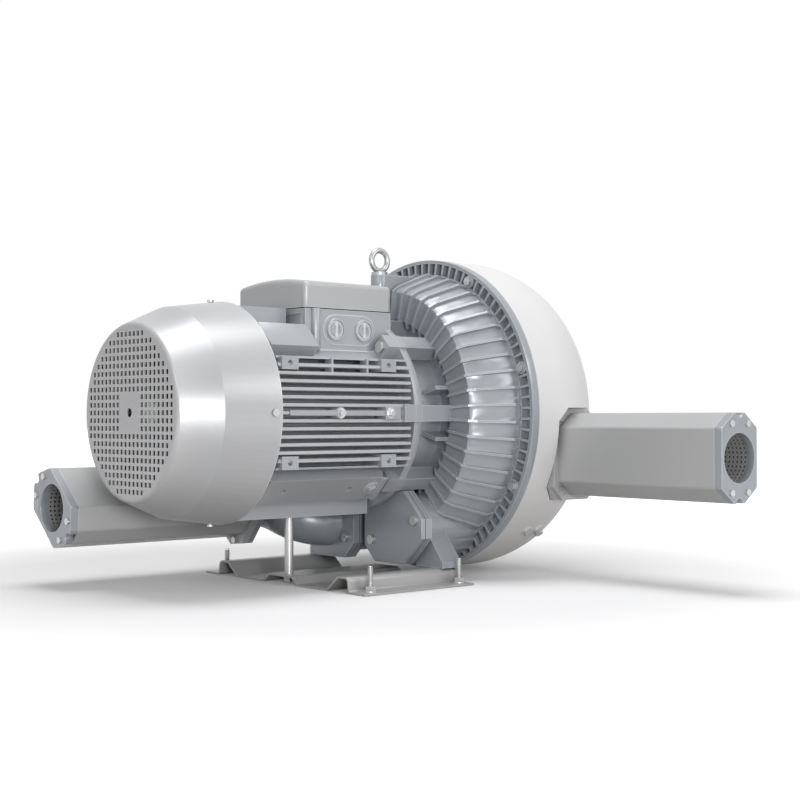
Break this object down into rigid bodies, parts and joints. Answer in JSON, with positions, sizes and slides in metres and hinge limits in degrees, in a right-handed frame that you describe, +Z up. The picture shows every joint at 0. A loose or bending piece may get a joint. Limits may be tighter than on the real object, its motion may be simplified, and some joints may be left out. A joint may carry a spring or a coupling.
{
  "type": "side channel blower",
  "caption": "Electric side channel blower: finned motor, ribbed round casing with smooth rear bowl, inlet and outlet silencers and a bent base plate.",
  "frame": {"origin": "centre of the base plate's hole and stud patterns, on the floor", "axes": "+X along the shaft from the fan cover to the smooth rear cover, +Y towards the inlet silencer's side, +Z up; the outlet silencer points along -Y"},
  "size_m": [0.8245, 0.8595, 0.5615],
  "materials": {
    "painted_cast": "silver-grey paint over cast aluminium",
    "painted_smooth": "smooth silver-grey paint over aluminium",
    "painted_sheet": "silver-grey paint on pressed sheet",
    "zinc_steel": "zinc plated",
    "bright_steel": "ground",
    "lamination_steel": "stacked laminations",
    "winding": "varnished copper wire",
    "cast_aluminium": "as cast, machined faces",
    "brass": "plain",
    "perforated_sheet": "sheet with round holes",
    "absorber": "felt",
    "rubber": "matt black",
    "gasket": "matt dark grey",
    "fan_plastic": "black moulding",
    "plug_plastic": "grey moulding",
    "block_plastic": "dark brown moulding"
  },
  "bodies": {
    "housing": {"fan_cover": "painted_sheet", "fan_cover_screws": "zinc_steel", "motor_frame": "painted_cast", "earth_screw": "zinc_steel", "stator_core": "lamination_steel", "stator_windings": "winding", "rear_bearing_outer_ring": "bright_steel", "front_bearing_outer_ring": "bright_steel", "bearing_cages": "brass", "rear_end_shield": "painted_cast", "rear_shield_screws": "zinc_steel", "front_end_shield": "painted_cast", "flange_bolts": "zinc_steel", "front_casing": "painted_cast", "shaft_seal": "rubber", "middle_casing": "cast_aluminium", "rear_casing": "cast_aluminium", "stage_bolts": "zinc_steel", "rear_cover": "painted_smooth", "casing_bolts": "zinc_steel", "port_gaskets": "gasket", "blank_port_cover": "painted_cast", "port_bolts": "zinc_steel", "inlet_elbow": "painted_cast", "inlet_silencer_flange": "painted_smooth", "inlet_silencer_body": "painted_smooth", "inlet_silencer_end_cap": "painted_smooth", "inlet_silencer_liner": "perforated_sheet", "inlet_silencer_absorber": "absorber", "outlet_silencer_flange": "painted_smooth", "outlet_silencer_body": "painted_smooth", "outlet_silencer_end_cap": "painted_smooth", "outlet_silencer_liner": "perforated_sheet", "outlet_silencer_absorber": "absorber", "silencer_cap_screws": "zinc_steel", "silencer_flange_bolts": "zinc_steel", "eye_bolt": "zinc_steel", "terminal_box": "painted_cast", "terminal_box_gasket": "gasket", "terminal_box_lid": "painted_smooth", "terminal_lid_screws": "zinc_steel", "blanking_plugs": "plug_plastic", "terminal_block": "block_plastic", "terminal_studs": "brass", "base_plate": "painted_sheet", "base_studs": "zinc_steel", "base_nuts": "zinc_steel", "foot_bolts": "zinc_steel", "support_rod": "zinc_steel"},
    "rotor": {"shaft": "bright_steel", "rotor_core": "lamination_steel", "cooling_fan": "fan_plastic", "impeller_stage_1": "cast_aluminium", "impeller_stage_2": "cast_aluminium", "impeller_keys": "bright_steel", "impeller_spacer": "bright_steel", "shaft_nut": "zinc_steel", "rear_bearing_inner_ring": "bright_steel", "front_bearing_inner_ring": "bright_steel"}
  },
  "joints": [
    {"name": "rotor_spin", "type": "hinge", "parent": "housing", "child": "rotor", "pos_m": [0, 0, 0.276], "axis": [1, 0, 0], "continuous": true}
  ]
}
